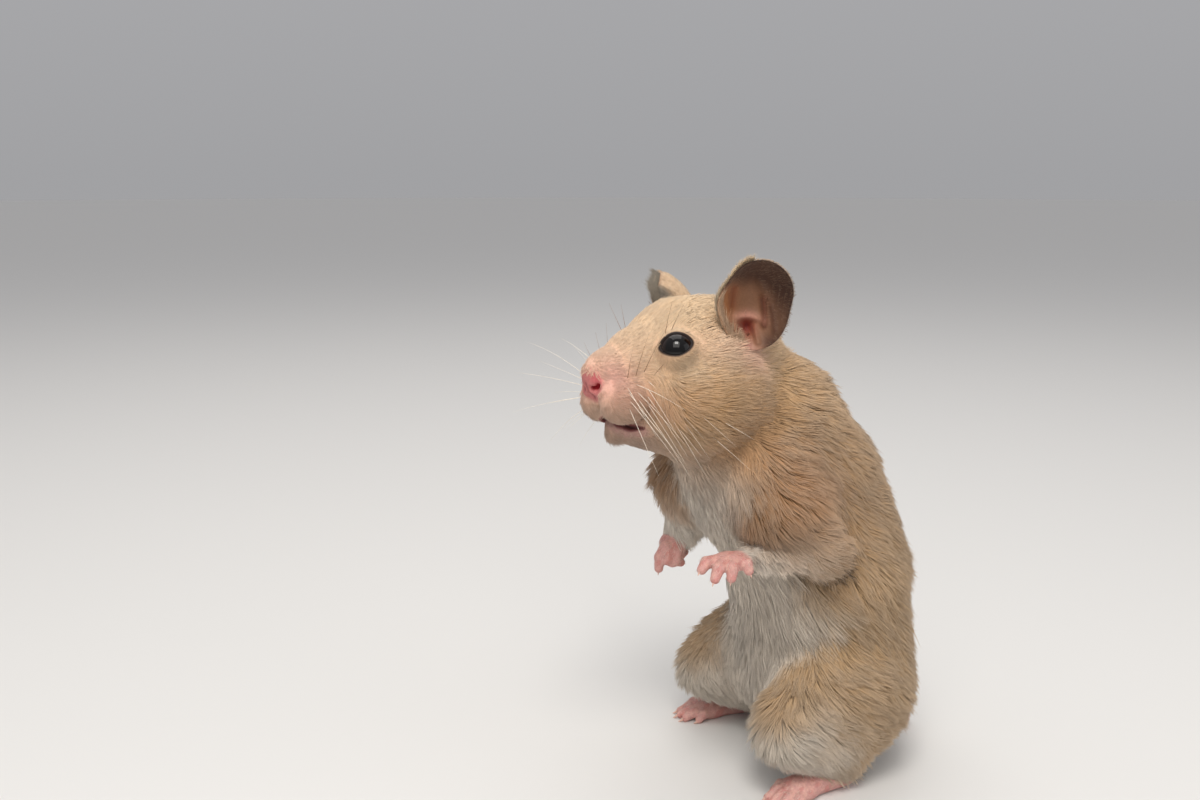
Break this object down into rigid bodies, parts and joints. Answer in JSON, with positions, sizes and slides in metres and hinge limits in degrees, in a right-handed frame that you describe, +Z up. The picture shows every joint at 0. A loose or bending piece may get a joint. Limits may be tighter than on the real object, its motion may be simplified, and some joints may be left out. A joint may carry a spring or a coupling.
{
  "type": "syrian hamster",
  "caption": "Life-size Syrian hamster, a still museum-like model that sits up on its haunches with both forepaws raised and its head turned a little to its left.",
  "frame": {"origin": "on the floor under the middle of the bounding box", "axes": "+Z up, the animal faces -X, its left side is towards -Y and its tail points to +X"},
  "size_m": [0.0824, 0.0526, 0.1095],
  "materials": {
    "head_fur": "matte",
    "body_fur": "matte",
    "limb_fur": "matte",
    "ear_skin": "matte",
    "paw_skin": "satin",
    "eye": "gloss"
  },
  "bodies": {
    "root": {"ear_left": "ear_skin", "ear_right": "ear_skin", "eye_left": "eye", "eye_right": "eye", "foreleg_left": "limb_fur", "foreleg_right": "limb_fur", "forepaw_left": "paw_skin", "forepaw_right": "paw_skin", "head": "head_fur", "hindfoot_left": "paw_skin", "hindfoot_right": "paw_skin", "hindleg_left": "body_fur", "hindleg_right": "body_fur", "neck": "body_fur", "tail": "paw_skin", "trunk": "body_fur"}
  },
  "joints": []
}
